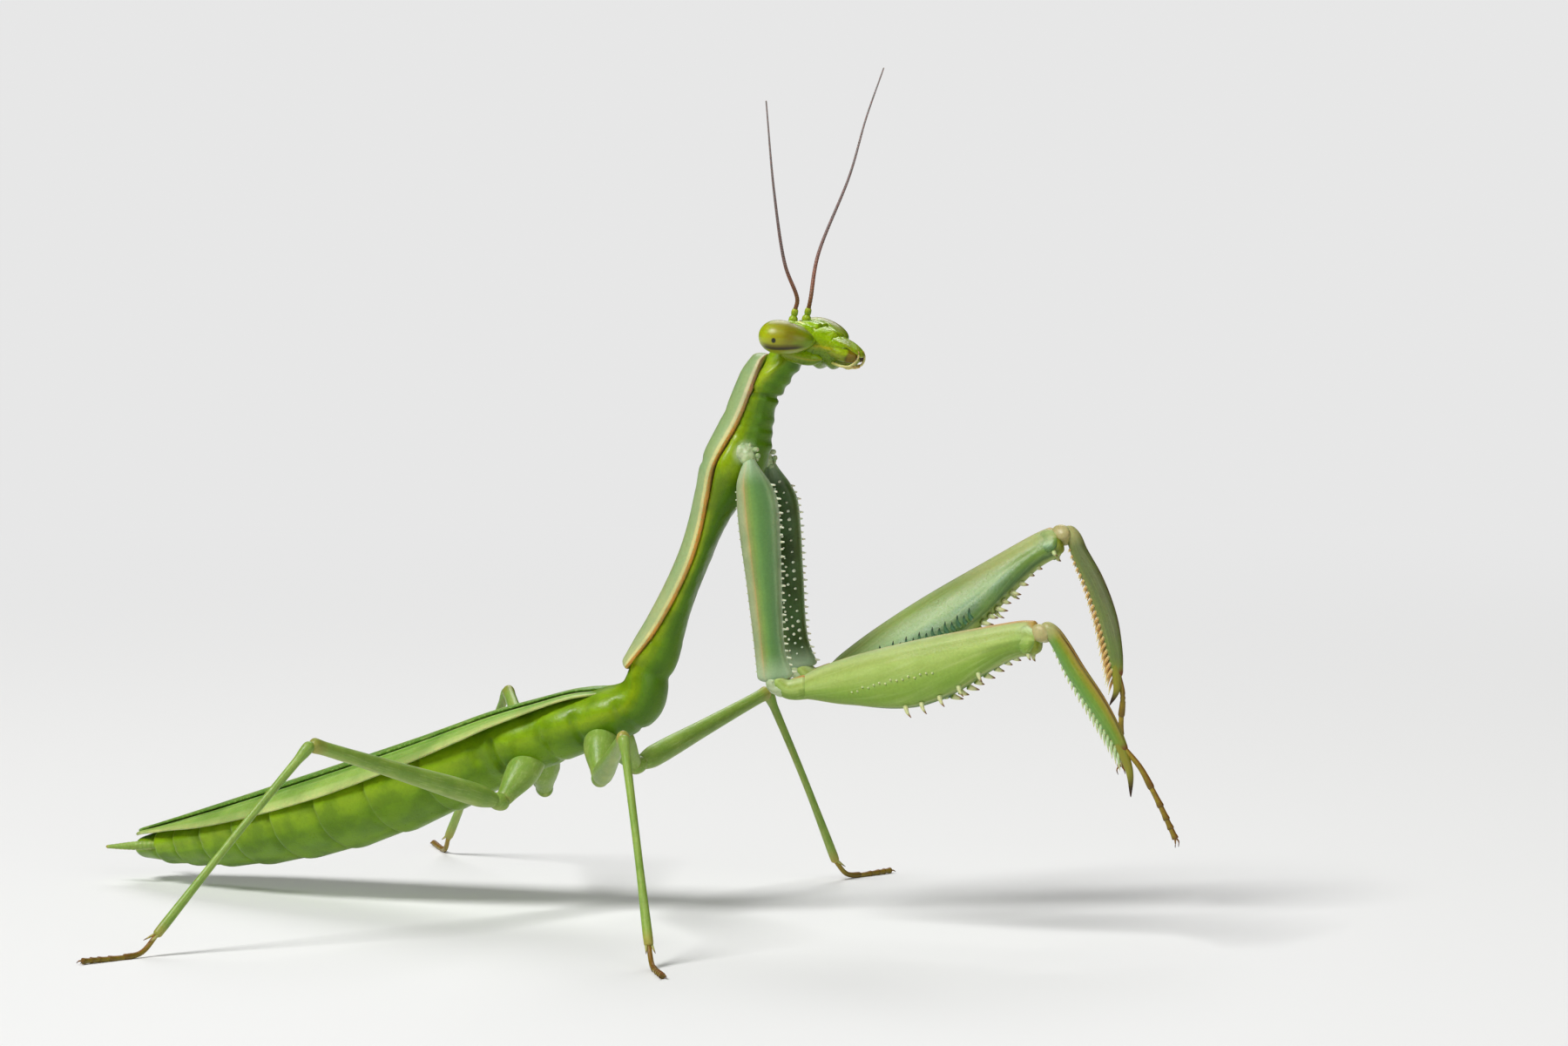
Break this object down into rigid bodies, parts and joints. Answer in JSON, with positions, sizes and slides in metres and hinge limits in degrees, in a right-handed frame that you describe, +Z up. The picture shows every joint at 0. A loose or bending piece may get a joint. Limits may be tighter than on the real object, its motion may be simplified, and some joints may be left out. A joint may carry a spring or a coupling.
{
  "type": "praying mantis",
  "caption": "Life-size still praying mantis on its walking legs, prothorax raised, spined forelegs reaching forward, wings folded along the back.",
  "frame": {"origin": "middle of the bounding box's base, on the ground under the trunk", "axes": "+X the way the animal faces, +Y to its left, +Z up"},
  "size_m": [0.069, 0.056, 0.0493],
  "materials": {
    "body": "smooth waxy insect cuticle, yellow-green, softly glossy",
    "leg": "smooth pale blue-green cuticle with a satin bloom",
    "eye": "fine-faceted olive-green compound eye, glossy",
    "horn": "thin reddish-brown to ochre cuticle of the antennae and forefeet",
    "wing": "leathery veined forewing, leaf green with a paler front edge"
  },
  "bodies": {
    "root": {"head": "body", "mouth": "body", "eye_left": "eye", "palp_left": "body", "scape_left": "body", "antenna_left": "horn", "eye_right": "eye", "palp_right": "body", "scape_right": "body", "antenna_right": "horn", "pronotum": "body", "prothorax": "body", "neck": "body", "fore_coxa_right": "leg", "fore_trochanter_right": "leg", "fore_femur_right": "leg", "fore_tibia_right": "leg", "fore_tarsus_right": "horn", "fore_coxa_left": "leg", "fore_trochanter_left": "leg", "fore_femur_left": "leg", "fore_tibia_left": "leg", "fore_tarsus_left": "horn", "mid_coxa_right": "body", "mid_femur_right": "body", "mid_tibia_right": "body", "mid_tarsus_right": "leg", "mid_coxa_left": "body", "mid_femur_left": "body", "mid_tibia_left": "body", "mid_tarsus_left": "leg", "hind_coxa_right": "body", "hind_femur_right": "body", "hind_tibia_right": "body", "hind_tarsus_right": "leg", "hind_coxa_left": "body", "hind_femur_left": "body", "hind_tibia_left": "body", "hind_tarsus_left": "leg", "mesothorax": "body", "metathorax": "body", "abdomen_front": "body", "abdomen_middle": "body", "abdomen_tip": "body", "cercus_left": "leg", "cercus_right": "leg", "forewing_right": "wing", "forewing_left": "wing"}
  },
  "joints": []
}
